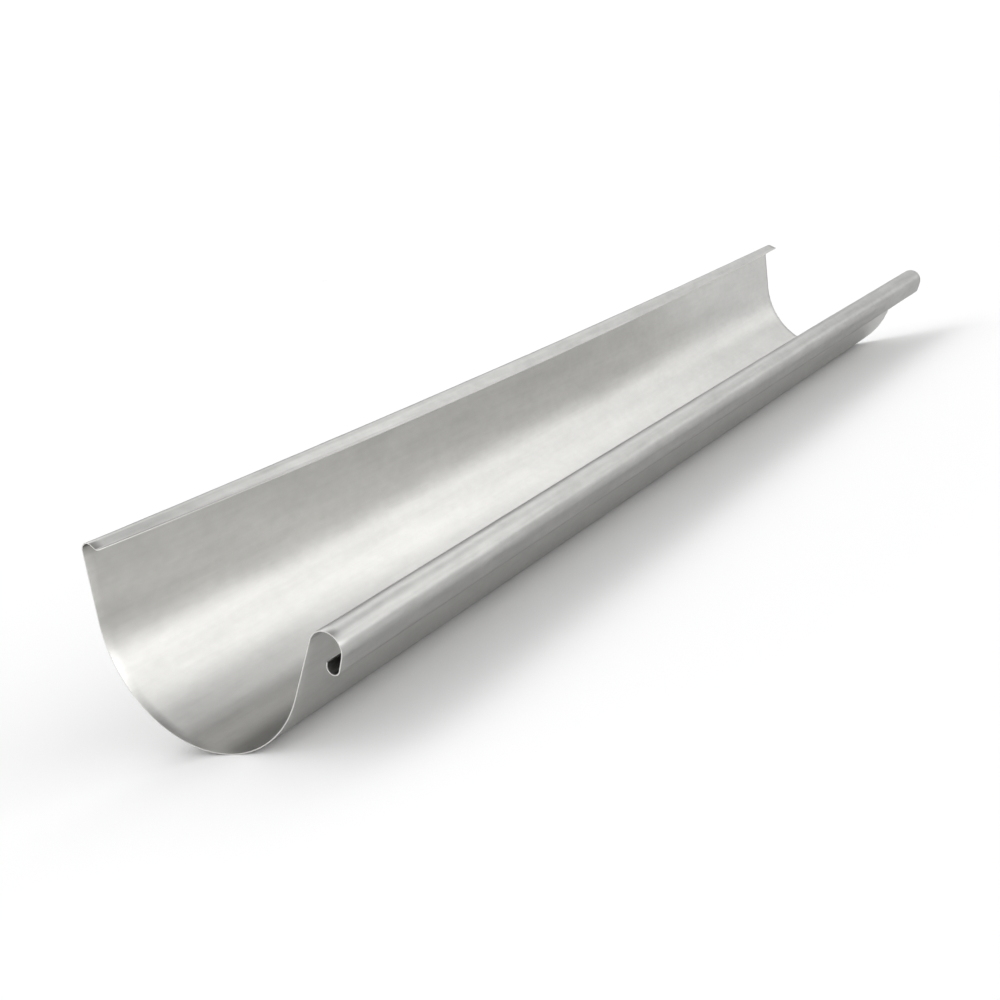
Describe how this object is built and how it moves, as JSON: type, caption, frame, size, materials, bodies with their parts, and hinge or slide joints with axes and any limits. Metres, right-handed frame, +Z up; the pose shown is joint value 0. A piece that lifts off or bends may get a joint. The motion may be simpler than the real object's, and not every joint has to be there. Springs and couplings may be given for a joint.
{
  "type": "gutter section",
  "caption": "Half-round eaves gutter length in folded bare zinc-coated sheet, with a rolled open front bead and a folded-in rear edge.",
  "frame": {"origin": "middle of the gutter's bounding box, on the floor that it lies on", "axes": "+Y along the gutter, +Z up, +X towards the side with the front bead"},
  "size_m": [0.1674, 1, 0.1238],
  "materials": {
    "zinc_coated_sheet": "satin, bare metallic coating with faint streaks along the length and bright cut edges"
  },
  "bodies": {
    "root": {"gutter_section": "zinc_coated_sheet"}
  },
  "joints": []
}
